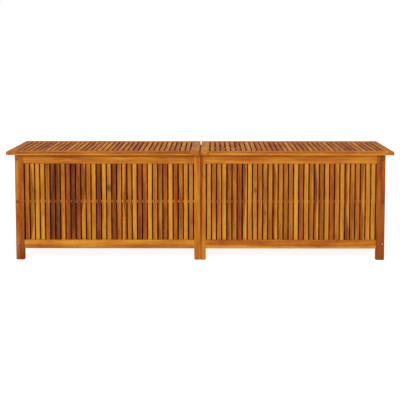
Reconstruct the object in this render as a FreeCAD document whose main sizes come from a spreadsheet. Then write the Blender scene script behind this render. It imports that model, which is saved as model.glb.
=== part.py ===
"""Slatted wooden deck storage box with two lids, as a parametric FreeCAD document.

Frame: millimetres, +X to the right, +Y to the back, +Z up, origin on the ground under the middle.
Each framed panel has its own frame: x to the right and y up as seen from outside, z outwards.
"""
import FreeCAD, Part
import math
import os
import Sketcher

Vector = FreeCAD.Vector
Rotation = FreeCAD.Rotation
QUARTER_TURN = math.pi / 2

# Driving dimensions: name, size, what it is
DIMENSIONS = [
    ("overall_width", 2000, "across both closed lids"),
    ("overall_depth", 500, "front to back of a lid"),
    ("overall_height", 570, "ground to top of the lids"),
    ("lid_gap", 6, "gap between the two lids"),
    ("side_overhang", 40, "lid past the side of the body"),
    ("front_overhang", 20, "lid past the front of the body"),
    ("back_overhang", 30, "lid past the back of the body"),
    ("panel_thickness", 20, "stiles and rails of front and back panels"),
    ("side_thickness", 22, "stiles and rails of side panels"),
    ("lid_thickness", 18, "stiles and rails of the lids"),
    ("foot_height", 60, "ground to bottom rail"),
    ("foot_radius", 5, "rounding of the lower corners of the feet"),
    ("rail_width", 46, "height of a body rail"),
    ("outer_stile_width", 45, "end stile of a front or back panel"),
    ("inner_stile_width", 30, "middle stile of a front or back panel"),
    ("side_stile_width", 45, "stile of a side panel"),
    ("lid_stile_width", 45, "stile of a lid"),
    ("lid_rail_width", 50, "front or back rail of a lid"),
    ("edge_radius", 1.5, "eased edge of stiles and rails"),
    ("slat_width", 20, "face of a slat"),
    ("slat_thickness", 10, "thickness of a slat"),
    ("slat_edge_radius", 1.2, "eased edge of a slat"),
    ("slat_recess", 4, "slat face behind the frame face, on the body"),
    ("lid_slat_recess", 1, "slat face below the frame face, on a lid"),
    ("slat_gap", 6.6, "wanted gap between slats on the body, spread to fill each panel evenly"),
    ("lid_slat_gap", 7.3, "wanted gap between slats on a lid, spread in the same way"),
    ("tongue_thickness", 6, "tongue on the end of a slat"),
    ("tongue_length", 8, "tongue inside the rail's groove"),
    ("tenon_thickness", 8, "tenon on the end of a rail"),
    ("tenon_length", 20, "tenon inside the stile"),
    ("tenon_shoulder", 8, "rail edge to tenon, and groove to tenon"),
    ("fit", 0.1, "clearance of each wood joint and screw hole"),
    ("batten_width", 15, "batten behind the slats of a body panel"),
    ("lid_batten_width", 40, "batten under the slats of a lid"),
    ("centre_batten_thickness", 18, "upright that joins two inner stiles"),
    ("cross_rail_height", 20, "cross rails in the middle of the box"),
    ("ledger_size", 20, "square ledger that carries the floor"),
    ("ledger_rise", 2, "underside of the ledger above the rail's underside"),
    ("floor_slat_width", 60, "width of a floor slat"),
    ("floor_slat_thickness", 12, "thickness of a floor slat"),
    ("floor_slat_count", 12, "floor slats in one compartment"),
    ("floor_clearance", 1, "floor slat to the panels"),
    ("liner_wall", 1.5, "liner bag wall"),
    ("liner_clearance", 2, "liner bag to the panels and the centre frame"),
    ("liner_drop", 12, "top of the liner bag below the body's top"),
    ("liner_radius", 12, "rounding of the liner bag's upright corners"),
    ("soft_gap", 0.3, "gap between a soft piece and its neighbour"),
    ("tape_width", 20, "hook and loop tape that holds the liner bag"),
    ("tape_inset", 60, "end of a tape from the corner of the bag"),
    ("wood_screw_head_radius", 4.5, "flat head of a wood screw"),
    ("wood_screw_head_height", 3, "height of that head"),
    ("wood_screw_shank_radius", 2.5, "shank of a wood screw"),
    ("bolt_head_radius", 5.5, "button head of a corner bolt"),
    ("bolt_head_height", 4, "height of that head"),
    ("bolt_head_bevel", 1.5, "bevel round the top of that head"),
    ("bolt_shank_radius", 3, "shank of a corner bolt"),
    ("bolt_socket_radius", 2.3, "corner of the six-sided socket in the head"),
    ("bolt_socket_depth", 2.2, "depth of that socket"),
    ("bolt_seat_radius", 7.5, "stepped hole that a bolt head sinks into"),
    ("bolt_seat_depth", 6, "depth of that hole in the end stile"),
    ("bolt_tip_margin", 2, "tip of a corner bolt short of the rail's tenon"),
    ("nut_radius", 5, "barrel nut in the side stile"),
    ("nut_length", 16, "barrel nut along its own axis"),
    ("nut_setback", 14, "barrel nut's axis from the edge of the side stile"),
    ("inner_screw_bite", 12, "inner screw inside a stile or rail"),
    ("inner_screw_margin", 40, "inner screw from the end of the slats or the ledger"),
    ("hinge_length", 60, "butt hinge along its pin"),
    ("hinge_leaf_width", 24, "pin's axis to the free edge of a leaf"),
    ("hinge_leaf_thickness", 2, "plate of a leaf"),
    ("hinge_axis_offset", 3.5, "pin's axis to the back face and to the lid"),
    ("hinge_barrel_radius", 3.2, "outside of a knuckle"),
    ("hinge_pin_radius", 1.5, "pin"),
    ("hinge_pin_clearance", 0.1, "pin to bore, on the radius"),
    ("hinge_knuckle_gap", 0.4, "gap between two knuckles"),
    ("hinge_inset", 150, "middle of a hinge from the end of its lid"),
    ("hinge_screw_row", 14, "pin's axis to the row of screws"),
    ("hinge_screw_pitch", 20, "distance between screws in the row"),
    ("hinge_screw_head_radius", 3.4, "countersunk head"),
    ("hinge_screw_head_height", 1.9, "height of the countersunk cone"),
    ("hinge_screw_shank_radius", 1.75, "shank"),
    ("hinge_screw_length", 14, "whole screw"),
]
KNUCKLES = 5  # knuckles on one hinge: the frame leaf has the 1st, 3rd and 5th

doc = FreeCAD.newDocument("deck_storage_box")
sheet = doc.addObject("Spreadsheet::Sheet", "dims")
for row, (alias, size, note) in enumerate(DIMENSIONS, start=1):
    sheet.set(f"A{row}", alias.replace("_", " "))
    sheet.set(f"B{row}", str(size))
    sheet.setAlias(f"B{row}", alias)
    sheet.set(f"C{row}", note)
doc.recompute()

# Places worked out from the driving dimensions, as expressions
BODY_HALF = "(dims.overall_width / 2 - dims.side_overhang)"
FRONT_FACE = "(dims.front_overhang - dims.overall_depth / 2)"
BACK_FACE = "(dims.overall_depth / 2 - dims.back_overhang)"
INNER_FRONT = f"({FRONT_FACE} + dims.panel_thickness)"
INNER_BACK = f"({BACK_FACE} - dims.panel_thickness)"
INNER_DEPTH = f"({INNER_BACK} - {INNER_FRONT})"
INNER_HALF = f"({BODY_HALF} - dims.side_thickness)"
BODY_TOP = "(dims.overall_height - dims.lid_thickness)"
LID_WIDTH = "((dims.overall_width - dims.lid_gap) / 2)"
BAY_LENGTH = f"({INNER_HALF} - dims.inner_stile_width)"
LEDGER_BOTTOM = "(dims.foot_height + dims.ledger_rise)"
FLOOR_BOTTOM = f"({LEDGER_BOTTOM} + dims.ledger_size)"
FLOOR_TOP = f"({FLOOR_BOTTOM} + dims.floor_slat_thickness)"
HINGE_Y = f"({BACK_FACE} + dims.hinge_axis_offset)"
HINGE_Z = f"({BODY_TOP} - dims.hinge_axis_offset)"
BOLT_REACH = "(dims.side_stile_width - dims.tenon_length - dims.bolt_tip_margin)"
LID_STARTS = {"left": "(-1 * dims.overall_width / 2)", "right": "(dims.lid_gap / 2)"}
BAY_STARTS = {"left": f"(-1 * {INNER_HALF})", "right": "dims.inner_stile_width"}
BOLT_HEIGHTS = [
    "(dims.foot_height + dims.rail_width / 2)",
    f"((dims.foot_height + {BODY_TOP}) / 2)",
    f"({BODY_TOP} - dims.rail_width / 2)",
]

SLATS_BOTTOM = "(dims.foot_height + dims.rail_width)"
SLATS_TOP = f"({BODY_TOP} - dims.rail_width)"
BATTEN_SCREW_HEIGHTS = [
    f"({SLATS_BOTTOM} + dims.inner_screw_margin)",
    f"(({SLATS_BOTTOM} + {SLATS_TOP}) / 2)",
    f"({SLATS_TOP} - dims.inner_screw_margin)",
]
LEDGER_SCREW_HEIGHT = f"({LEDGER_BOTTOM} + dims.ledger_size / 2)"
LEDGER_SCREWS = 4  # screws along one ledger

UPRIGHT_FRONT = Rotation(Vector(1, 0, 0), 90)
UPRIGHT_BACK = Rotation(Vector(0, 0, 1), 180) * UPRIGHT_FRONT
UPRIGHT_LEFT = Rotation(Vector(0, 0, 1), -90) * UPRIGHT_FRONT
UPRIGHT_RIGHT = Rotation(Vector(0, 0, 1), 90) * UPRIGHT_FRONT
FLAT = Rotation()
NODES = []


def size_of(expression):
    """The present value of an expression, in millimetres."""
    value = sheet.evalExpression(expression)
    return float(getattr(value, "Value", value))


def place(thing, base, turn):
    """Turn a sub-part and tie its place to three expressions."""
    thing.Placement = FreeCAD.Placement(Vector(*[size_of(b) for b in base]), turn)
    for axis, expression in zip("xyz", base):
        thing.setExpression(f"Placement.Base.{axis}", expression)


def new_body(label, base, turn=FLAT, own_node=True):
    """An empty body at a place; one that is its own node is written to a file."""
    body = doc.addObject("PartDesign::Body", label)
    body.Label = label
    body.AllowCompound = True
    place(body, base, turn)
    if own_node:
        NODES.append(body)
    return body


def group(label, members):
    """Identical pieces that share one node."""
    compound = doc.addObject("Part::Compound", label)
    compound.Label = label
    compound.Links = members
    NODES.append(compound)
    return compound


def sketch_on(body, plane, offset=("0", "0", "0")):
    """An empty sketch on one of the body's origin planes, moved by three expressions."""
    sketch = body.newObject("Sketcher::SketchObject", f"{body.Name}_sketch")
    support = [f for f in body.Origin.OriginFeatures if f.Role == plane]
    sketch.AttachmentSupport = [(support[0], "")]
    sketch.MapMode = "FlatFace"
    for axis, expression in zip("xyz", offset):
        sketch.setExpression(f"AttachmentOffset.Base.{axis}", expression)
    return sketch


def dimension(sketch, name, expression, *constraint):
    """Add one named dimension and tie it to an expression."""
    index = sketch.addConstraint(Sketcher.Constraint(*constraint, size_of(expression)))
    sketch.renameConstraint(index, name)
    sketch.setExpression(f"Constraints.{name}", expression)


def polygon(sketch, points):
    """A closed outline of straight lines through points given as pairs of expressions."""
    spots = [Vector(size_of(x), size_of(y), 0) for x, y in points]
    count = len(points)
    for i in range(count):
        sketch.addGeometry(Part.LineSegment(spots[i], spots[(i + 1) % count]), False)
    for i in range(count):
        sketch.addConstraint(Sketcher.Constraint("Coincident", i, 2, (i + 1) % count, 1))
    for i, (x, y) in enumerate(points):
        dimension(sketch, f"x{i}", x, "DistanceX", -1, 1, i, 1)
        dimension(sketch, f"y{i}", y, "DistanceY", -1, 1, i, 1)
    return sketch


def rectangle(sketch, width, height):
    """A rectangle with its lower left corner on the sketch's origin."""
    return polygon(sketch, [("0", "0"), (width, "0"), (width, height), ("0", height)])


def rounded_rectangle(sketch, width, height, radius):
    """A rectangle with four round corners, in the first quadrant of the sketch."""
    w, h, r = size_of(width), size_of(height), size_of(radius)
    up = Vector(0, 0, 1)
    ends = [((r, 0), (w - r, 0)), ((w, r), (w, h - r)), ((w - r, h), (r, h)), ((0, h - r), (0, r))]
    centres = [(w - r, r), (w - r, h - r), (r, h - r), (r, r)]
    for side, (start, end) in enumerate(ends):
        sketch.addGeometry(Part.LineSegment(Vector(*start, 0), Vector(*end, 0)), False)
        first = (side - 1) * QUARTER_TURN
        circle = Part.Circle(Vector(*centres[side], 0), up, r)
        sketch.addGeometry(Part.ArcOfCircle(circle, first, first + QUARTER_TURN), False)
    for side in range(4):
        line, arc, following = 2 * side, 2 * side + 1, (2 * side + 2) % 8
        sketch.addConstraint(Sketcher.Constraint("Tangent", line, 2, arc, 1))
        sketch.addConstraint(Sketcher.Constraint("Tangent", arc, 2, following, 1))
        sketch.addConstraint(Sketcher.Constraint("Vertical" if side % 2 else "Horizontal", line))
    for arc in (3, 5, 7):
        sketch.addConstraint(Sketcher.Constraint("Equal", 1, arc))
    sketch.addConstraint(Sketcher.Constraint("PointOnObject", 0, 1, -1))
    sketch.addConstraint(Sketcher.Constraint("PointOnObject", 6, 1, -2))
    dimension(sketch, "width", width, "DistanceX", 6, 1, 2, 1)
    dimension(sketch, "height", height, "DistanceY", 0, 1, 4, 2)
    dimension(sketch, "radius", radius, "Radius", 1)
    return sketch


def circles(sketch, centres, radius):
    """Equal circles about centres given as pairs of expressions."""
    for i, (x, y) in enumerate(centres):
        centre = Vector(size_of(x), size_of(y), 0)
        sketch.addGeometry(Part.Circle(centre, Vector(0, 0, 1), size_of(radius)), False)
        dimension(sketch, f"x{i}", x, "DistanceX", -1, 1, i, 3)
        dimension(sketch, f"y{i}", y, "DistanceY", -1, 1, i, 3)
        if i:
            sketch.addConstraint(Sketcher.Constraint("Equal", 0, i))
        else:
            dimension(sketch, "radius", radius, "Radius", 0)
    return sketch


def pad(body, sketch, length, backwards=False):
    """Add the sketch carried along its normal."""
    feature = body.newObject("PartDesign::Pad", f"{body.Name}_pad")
    feature.Profile = sketch
    feature.Reversed = backwards
    feature.setExpression("Length", length)
    return feature


def pocket(body, sketch, depth, forwards=False):
    """Cut the sketch against its normal, or along it when forwards is set."""
    feature = body.newObject("PartDesign::Pocket", f"{body.Name}_pocket")
    feature.Profile = sketch
    feature.Reversed = forwards
    feature.setExpression("Length", depth)
    return feature


def row_along_x(body, features, count, pitch):
    """Repeat features along the body's x axis."""
    pattern = body.newObject("PartDesign::LinearPattern", f"{body.Name}_row")
    pattern.Originals = features
    axis = [f for f in body.Origin.OriginFeatures if f.Role == "X_Axis"]
    pattern.Direction = (axis[0], [""])
    pattern.setExpression("Length", f"({count} - 1) * ({pitch})")
    pattern.setExpression("Occurrences", count)
    body.Tip = pattern
    return pattern


class Panel:
    """One slatted frame: two stiles, two rails between them, slats and a batten."""

    def __init__(self, base, turn, width, height, thickness, **sizes):
        self.base = base
        self.turn = turn
        self.width = width
        self.height = height
        self.thickness = thickness
        self.foot = sizes["foot"]
        self.rail_width = sizes["rail_width"]
        self.low_stile = sizes["low_stile"]
        self.high_stile = sizes["high_stile"]
        self.wanted_gap = sizes["slat_gap"]
        self.recess = sizes["recess"]
        self.batten_width = sizes["batten_width"]
        self.opening = f"({width} - {self.low_stile} - {self.high_stile})"
        self.slat_start = f"({self.foot} + {self.rail_width})"
        self.slat_length = f"({height} - {self.foot} - 2 * {self.rail_width})"
        self.high_rail_at = f"({height} - {self.rail_width})"
        self.slat_count = (f"round(({self.opening} - {self.wanted_gap})"
                           f" / (dims.slat_width + {self.wanted_gap}))")
        free_width = f"({self.opening} - {self.slat_count} * dims.slat_width)"
        self.slat_gap = f"({free_width} / ({self.slat_count} + 1))"
        self.tenon_width = f"({self.rail_width} - dims.tongue_length - 2 * dims.tenon_shoulder)"
        self.tenon_z = f"(({thickness} - dims.tenon_thickness) / 2)"
        self.slat_back = f"({thickness} - {self.recess} - dims.slat_thickness)"
        self.tongue_z = f"({self.slat_back} + (dims.slat_thickness - dims.tongue_thickness) / 2)"

    def tenon_at(self, high):
        """Lower edge of a rail's tenon: the groove side has the groove's depth more."""
        if high:
            return f"({self.high_rail_at} + dims.tongue_length + dims.tenon_shoulder)"
        return f"({self.foot} + dims.tenon_shoulder)"

    def stile(self, label, high, own_node=True):
        """The stile at x = 0, or the one at the far side, with two mortises."""
        width = self.high_stile if high else self.low_stile
        left = f"({self.width} - {width})" if high else "0"
        body = new_body(label, self.base, self.turn, own_node)
        sketch = sketch_on(body, "XY_Plane", (left, "0", "0"))
        outline = pad(body, self.stile_outline(sketch, width), self.thickness)
        self.ease_long_edges(body, outline)
        inner_edge = left if high else width
        for rail in (False, True):
            at = (f"{self.tenon_at(rail)} - dims.fit", f"{self.tenon_z} - dims.fit", inner_edge)
            mortise = rectangle(sketch_on(body, "YZ_Plane", at), f"{self.tenon_width} + 2 * dims.fit",
                                "dims.tenon_thickness + 2 * dims.fit")
            pocket(body, mortise, "dims.tenon_length + dims.fit", forwards=high)
        return body

    def stile_outline(self, sketch, width):
        """A long rectangle; where the panel has feet its two lower corners are round."""
        if self.foot == "0":
            return rectangle(sketch, width, self.height)
        w, h, r = size_of(width), size_of(self.height), size_of("dims.foot_radius")
        corners = [(r, 0), (w - r, 0), (w, r), (w, h), (0, h), (0, r)]
        spots = [Vector(x, y, 0) for x, y in corners]
        up = Vector(0, 0, 1)
        for start, end in ((0, 1), (2, 3), (3, 4), (4, 5)):
            sketch.addGeometry(Part.LineSegment(spots[start], spots[end]), False)
        right = Part.Circle(Vector(w - r, r, 0), up, r)
        left = Part.Circle(Vector(r, r, 0), up, r)
        sketch.addGeometry(Part.ArcOfCircle(right, -QUARTER_TURN, 0), False)
        sketch.addGeometry(Part.ArcOfCircle(left, 2 * QUARTER_TURN, 3 * QUARTER_TURN), False)
        for first, first_end, second, second_end in ((0, 2, 4, 1), (4, 2, 1, 1), (3, 2, 5, 1), (5, 2, 0, 1)):
            sketch.addConstraint(Sketcher.Constraint("Tangent", first, first_end, second, second_end))
        sketch.addConstraint(Sketcher.Constraint("Coincident", 1, 2, 2, 1))
        sketch.addConstraint(Sketcher.Constraint("Coincident", 2, 2, 3, 1))
        for line, way in ((0, "Horizontal"), (1, "Vertical"), (2, "Horizontal"), (3, "Vertical")):
            sketch.addConstraint(Sketcher.Constraint(way, line))
        sketch.addConstraint(Sketcher.Constraint("Equal", 4, 5))
        sketch.addConstraint(Sketcher.Constraint("PointOnObject", 0, 1, -1))
        sketch.addConstraint(Sketcher.Constraint("PointOnObject", 3, 1, -2))
        dimension(sketch, "width", width, "DistanceX", 2, 2, 2, 1)
        dimension(sketch, "height", self.height, "DistanceY", -1, 1, 3, 1)
        dimension(sketch, "radius", "dims.foot_radius", "Radius", 4)
        return sketch

    def ease_long_edges(self, body, solid):
        """Round the four long edges of a stile; round feet carry the rounding with them."""
        doc.recompute()
        long_edges = []
        for number, edge in enumerate(solid.Shape.Edges, start=1):
            low, high = edge.BoundBox.YMin, edge.BoundBox.YMax
            if high - low > size_of(self.height) / 2:
                long_edges.append(f"Edge{number}")
        fillet = body.newObject("PartDesign::Fillet", f"{body.Name}_eased")
        fillet.Base = (solid, long_edges)
        fillet.setExpression("Radius", "dims.edge_radius")

    def rail(self, label, high):
        """A rail with a tenon on each end and a groove for the slats' tongues."""
        body = new_body(label, self.base, self.turn)
        bottom = self.high_rail_at if high else self.foot
        section_at = (bottom, "0", self.low_stile)
        section = rounded_rectangle(sketch_on(body, "YZ_Plane", section_at), self.rail_width,
                                    self.thickness, "dims.edge_radius")
        pad(body, section, self.opening)
        tenon_at = (self.tenon_at(high), self.tenon_z, f"{self.low_stile} - dims.tenon_length")
        tenon = rectangle(sketch_on(body, "YZ_Plane", tenon_at), self.tenon_width, "dims.tenon_thickness")
        pad(body, tenon, f"{self.opening} + 2 * dims.tenon_length")
        groove_bottom = bottom if high else f"{self.slat_start} - dims.tongue_length - dims.fit"
        groove_at = (groove_bottom, f"{self.tongue_z} - dims.fit", f"{self.low_stile} + {self.opening}")
        groove = rectangle(sketch_on(body, "YZ_Plane", groove_at), "dims.tongue_length + dims.fit",
                           "dims.tongue_thickness + 2 * dims.fit")
        pocket(body, groove, self.opening)
        return body

    def slats(self, label):
        """The row of slats, each with a tongue on both ends."""
        body = new_body(label, self.base, self.turn)
        first = f"({self.low_stile} + {self.slat_gap})"
        at = (first, self.slat_back, f"-1 * {self.slat_start}")
        section = rounded_rectangle(sketch_on(body, "XZ_Plane", at), "dims.slat_width",
                                    "dims.slat_thickness", "dims.slat_edge_radius")
        face = pad(body, section, self.slat_length, backwards=True)
        at = (first, self.tongue_z, f"dims.tongue_length - {self.slat_start}")
        section = rectangle(sketch_on(body, "XZ_Plane", at), "dims.slat_width", "dims.tongue_thickness")
        tongue = pad(body, section, f"{self.slat_length} + 2 * dims.tongue_length", backwards=True)
        row_along_x(body, [face, tongue], self.slat_count, f"dims.slat_width + {self.slat_gap}")
        return body

    def batten(self, label, own_node=True):
        """The batten behind the middle of the slats, from stile to stile."""
        body = new_body(label, self.base, self.turn, own_node)
        middle = f"({self.slat_start} + {self.slat_length} / 2)"
        at = (f"{middle} - {self.batten_width} / 2", "0", self.low_stile)
        section = rounded_rectangle(sketch_on(body, "YZ_Plane", at), self.batten_width,
                                    self.slat_back, "dims.slat_edge_radius")
        pad(body, section, self.opening)
        return body


def body_panel(base, turn, width, thickness, low_stile, high_stile):
    """A standing panel with feet."""
    return Panel(base, turn, width, BODY_TOP, thickness, foot="dims.foot_height",
                 rail_width="dims.rail_width", low_stile=low_stile, high_stile=high_stile,
                 slat_gap="dims.slat_gap", recess="dims.slat_recess", batten_width="dims.batten_width")


def lid_panel(left):
    """A lid lying on the body; its y axis runs from front to back."""
    base = (left, "-1 * dims.overall_depth / 2", BODY_TOP)
    return Panel(base, FLAT, LID_WIDTH, "dims.overall_depth", "dims.lid_thickness", foot="0",
                 rail_width="dims.lid_rail_width", low_stile="dims.lid_stile_width",
                 high_stile="dims.lid_stile_width", slat_gap="dims.lid_slat_gap",
                 recess="dims.lid_slat_recess", batten_width="dims.lid_batten_width")


def hinge_middles(lid_left):
    """World x of the two hinges of the lid whose left edge is given."""
    return [f"({lid_left} + dims.hinge_inset)", f"({lid_left} + {LID_WIDTH} - dims.hinge_inset)"]


def screw_steps():
    """Offsets of the three screws of a leaf from the hinge's middle."""
    return ["- dims.hinge_screw_pitch", "+ 0", "+ dims.hinge_screw_pitch"]


def build_front_and_back():
    """Four panels; the end stile is on the outside of each half."""
    outer, inner = "dims.outer_stile_width", "dims.inner_stile_width"
    walls = [
        ("front", "left", (f"-1 * {BODY_HALF}", INNER_FRONT, "0"), UPRIGHT_FRONT, True),
        ("front", "right", ("0", INNER_FRONT, "0"), UPRIGHT_FRONT, False),
        ("back", "left", ("0", INNER_BACK, "0"), UPRIGHT_BACK, False),
        ("back", "right", (BODY_HALF, INNER_BACK, "0"), UPRIGHT_BACK, True),
    ]
    battens = {"front": [], "back": []}
    for wall, side, base, turn, outer_is_low in walls:
        stiles = (outer, inner) if outer_is_low else (inner, outer)
        panel = body_panel(base, turn, BODY_HALF, "dims.panel_thickness", stiles[0], stiles[1])
        name = f"{wall}_{side}"
        outer_stile = panel.stile(f"{name}_outer_stile", high=not outer_is_low)
        drill_outer_stile(outer_stile, outer_is_low)
        inner_stile = panel.stile(f"{name}_inner_stile", high=outer_is_low)
        middle = f"({BODY_HALF} - {inner} / 2)" if outer_is_low else f"({inner} / 2)"
        drill_inside(inner_stile, [(middle, height) for height in BATTEN_SCREW_HEIGHTS])
        top_rail = panel.rail(f"{name}_top_rail", high=True)
        if wall == "back":
            drill_back_rail(top_rail, side)
        bottom_rail = panel.rail(f"{name}_bottom_rail", high=False)
        ledger_start = "dims.side_thickness" if outer_is_low else inner
        drill_inside(bottom_rail, [(f"{ledger_start} + {x}", LEDGER_SCREW_HEIGHT)
                                   for x in ledger_screw_steps()])
        panel.slats(f"{name}_slats")
        battens[wall].append(panel.batten(f"{name}_slat_batten", own_node=False))
    for wall, members in battens.items():
        group(f"{wall}_slat_battens", members)


def drill_outer_stile(body, outer_is_low):
    """Three stepped holes for the corner bolts."""
    across = "dims.side_thickness / 2"
    if not outer_is_low:
        across = f"{BODY_HALF} - {across}"
    centres = [(across, height) for height in BOLT_HEIGHTS]
    for radius, depth in (("dims.bolt_shank_radius + dims.fit", "dims.panel_thickness"),
                          ("dims.bolt_seat_radius", "dims.bolt_seat_depth")):
        sketch = sketch_on(body, "XY_Plane", ("0", "0", "dims.panel_thickness"))
        pocket(body, circles(sketch, centres, radius), depth)


def ledger_screw_steps():
    """Places of the screws along a ledger, evenly spaced between its margins."""
    run = f"({BAY_LENGTH} - 2 * dims.inner_screw_margin)"
    return [f"(dims.inner_screw_margin + {i} * {run} / {LEDGER_SCREWS - 1})" for i in range(LEDGER_SCREWS)]


def drill_inside(body, centres):
    """Pilot holes for inner screws, from the inner face of a front or back panel."""
    holes = circles(sketch_on(body, "XY_Plane"), centres, "dims.wood_screw_shank_radius + dims.fit")
    pocket(body, holes, "dims.inner_screw_bite + dims.fit", forwards=True)


def drill_through(body, centres, depth):
    """Clearance holes along the body's y axis."""
    holes = circles(sketch_on(body, "XZ_Plane"), centres, "dims.wood_screw_shank_radius + dims.fit")
    pocket(body, holes, depth)


def drill_back_rail(body, side):
    """Pilot holes for the screws of the two frame leaves."""
    origin = "0" if side == "left" else BODY_HALF
    height = f"{HINGE_Z} - dims.hinge_screw_row"
    centres = []
    for middle in hinge_middles(LID_STARTS[side]):
        centres += [(f"{origin} - ({middle} {step})", height) for step in screw_steps()]
    sketch = sketch_on(body, "XY_Plane", ("0", "0", "dims.panel_thickness"))
    depth = "dims.hinge_screw_length - dims.hinge_leaf_thickness + dims.fit"
    pocket(body, circles(sketch, centres, "dims.hinge_screw_shank_radius + dims.fit"), depth)


def build_sides():
    """Two side panels between the front and the back."""
    stile = "dims.side_stile_width"
    battens = []
    for side, base, turn in (("left", (f"-1 * {INNER_HALF}", INNER_BACK, "0"), UPRIGHT_LEFT),
                             ("right", (INNER_HALF, INNER_FRONT, "0"), UPRIGHT_RIGHT)):
        panel = body_panel(base, turn, INNER_DEPTH, "dims.side_thickness", stile, stile)
        stiles = []
        for end, high in (("low", False), ("high", True)):
            body = panel.stile(f"{side}_side_stile_{end}", high, own_node=False)
            drill_side_stile(body, high)
            stiles.append(body)
        group(f"{side}_side_stiles", stiles)
        panel.rail(f"{side}_side_top_rail", high=True)
        panel.rail(f"{side}_side_bottom_rail", high=False)
        panel.slats(f"{side}_side_slats")
        battens.append(panel.batten(f"{side}_side_slat_batten", own_node=False))
    group("side_slat_battens", battens)


def drill_side_stile(body, high):
    """Bolt holes from the edge that meets the front or back, and nut holes from the inside."""
    centres = [(height, "dims.side_thickness / 2") for height in BOLT_HEIGHTS]
    edge = INNER_DEPTH if high else "0"
    sketch = sketch_on(body, "YZ_Plane", ("0", "0", edge))
    holes = circles(sketch, centres, "dims.bolt_shank_radius + dims.fit")
    pocket(body, holes, f"{BOLT_REACH} + dims.fit", forwards=not high)
    across = f"{INNER_DEPTH} - dims.nut_setback" if high else "dims.nut_setback"
    centres = [(across, height) for height in BOLT_HEIGHTS]
    holes = circles(sketch_on(body, "XY_Plane"), centres, "dims.nut_radius + dims.fit")
    pocket(body, holes, "(dims.side_thickness + dims.nut_length) / 2 + dims.fit", forwards=True)


def build_lids():
    """Two lids, each with pilot holes under its back rail."""
    for side, left in LID_STARTS.items():
        panel = lid_panel(left)
        outer_is_low = side == "left"
        panel.stile(f"{side}_lid_outer_stile", high=not outer_is_low)
        panel.stile(f"{side}_lid_inner_stile", high=outer_is_low)
        panel.rail(f"{side}_lid_front_rail", high=False)
        back_rail = panel.rail(f"{side}_lid_back_rail", high=True)
        drill_lid_rail(back_rail, left)
        panel.slats(f"{side}_lid_slats")
        panel.batten(f"{side}_lid_batten")


def drill_lid_rail(body, left):
    """Pilot holes for the screws of the two lid leaves."""
    row = f"{HINGE_Y} + dims.hinge_screw_row + dims.overall_depth / 2"
    centres = []
    for middle in hinge_middles(left):
        centres += [(f"{middle} {step} - {left}", row) for step in screw_steps()]
    sketch = circles(sketch_on(body, "XY_Plane"), centres, "dims.hinge_screw_shank_radius + dims.fit")
    depth = "dims.hinge_screw_length - dims.hinge_leaf_thickness + dims.fit"
    pocket(body, sketch, depth, forwards=True)


def turned_piece(label, base, turn, profile):
    """A piece turned about its own z axis from an outline of (radius, z) expressions."""
    body = new_body(label, base, turn, own_node=False)
    sketch = polygon(sketch_on(body, "XZ_Plane"), profile)
    feature = body.newObject("PartDesign::Revolution", f"{body.Name}_turned")
    feature.Profile = sketch
    feature.ReferenceAxis = (sketch, ["V_Axis"])
    feature.Angle = 360
    return body


def wood_screw_profile(length):
    """Outline of a flat-headed wood screw standing on its tip; length is up to the head."""
    head, shank = "dims.wood_screw_head_radius", "dims.wood_screw_shank_radius"
    top = f"{length} + dims.wood_screw_head_height"
    return [("0", "0"), (shank, "0"), (shank, length), (head, length), (head, top), ("0", top)]


def build_corner_fasteners():
    """Bolts through the end stiles into barrel nuts in the side stiles."""
    seat = "(dims.panel_thickness - dims.bolt_seat_depth)"
    bolts, nuts = [], []
    across = f"({BODY_HALF} - dims.side_thickness / 2)"
    for wall, face, turn, way in (("front", INNER_FRONT, UPRIGHT_FRONT, "+"),
                                  ("back", INNER_BACK, UPRIGHT_BACK, "-")):
        for side, x in (("left", f"-1 * {across}"), ("right", across)):
            for level, height in enumerate(BOLT_HEIGHTS, start=1):
                name = f"{wall}_{side}_{level}"
                tip = f"{face} {way} {BOLT_REACH}"
                bolts.append(corner_bolt(f"bolt_{name}", (x, tip, height), turn,
                                         f"({seat} + {BOLT_REACH})"))
                axis = f"{face} {way} dims.nut_setback"
                nuts.append(barrel_nut(f"nut_{name}", (f"{x} - dims.nut_length / 2", axis, height)))
    group("corner_bolts", bolts)
    group("barrel_nuts", nuts)


def corner_bolt(label, base, turn, length):
    """A button-headed bolt standing on its tip, with a six-sided socket in its head."""
    head, shank, bevel = "dims.bolt_head_radius", "dims.bolt_shank_radius", "dims.bolt_head_bevel"
    top = f"{length} + dims.bolt_head_height"
    profile = [("0", "0"), (shank, "0"), (shank, length), (head, length), (head, f"{top} - {bevel}"),
               (f"{head} - {bevel}", top), ("0", top)]
    body = turned_piece(label, base, turn, profile)
    radius = "dims.bolt_socket_radius"
    sketch = sketch_on(body, "XY_Plane", (f"-1 * {radius}", f"-1 * {radius}", top))
    corners = [(f"{radius} + {radius} * cos({60 * i} deg)", f"{radius} + {radius} * sin({60 * i} deg)")
               for i in range(6)]
    pocket(body, polygon(sketch, corners), "dims.bolt_socket_depth")
    return body


def barrel_nut(label, base):
    """A cross dowel along world x, with a hole through its middle for the bolt."""
    radius, length = "dims.nut_radius", "dims.nut_length"
    profile = [("0", "0"), (radius, "0"), (radius, length), ("0", length)]
    body = turned_piece(label, base, UPRIGHT_RIGHT, profile)
    sketch = circles(sketch_on(body, "YZ_Plane", ("0", "0", radius)), [("0", f"{length} / 2")],
                     "dims.bolt_shank_radius + dims.fit")
    pocket(body, sketch, f"2 * {radius}")
    return body


KNUCKLE_PITCH = f"(dims.hinge_length / {KNUCKLES})"
LEAF_DOWN = FLAT
LEAF_BACK = Rotation(Vector(0, 1, -1), 180)


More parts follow.
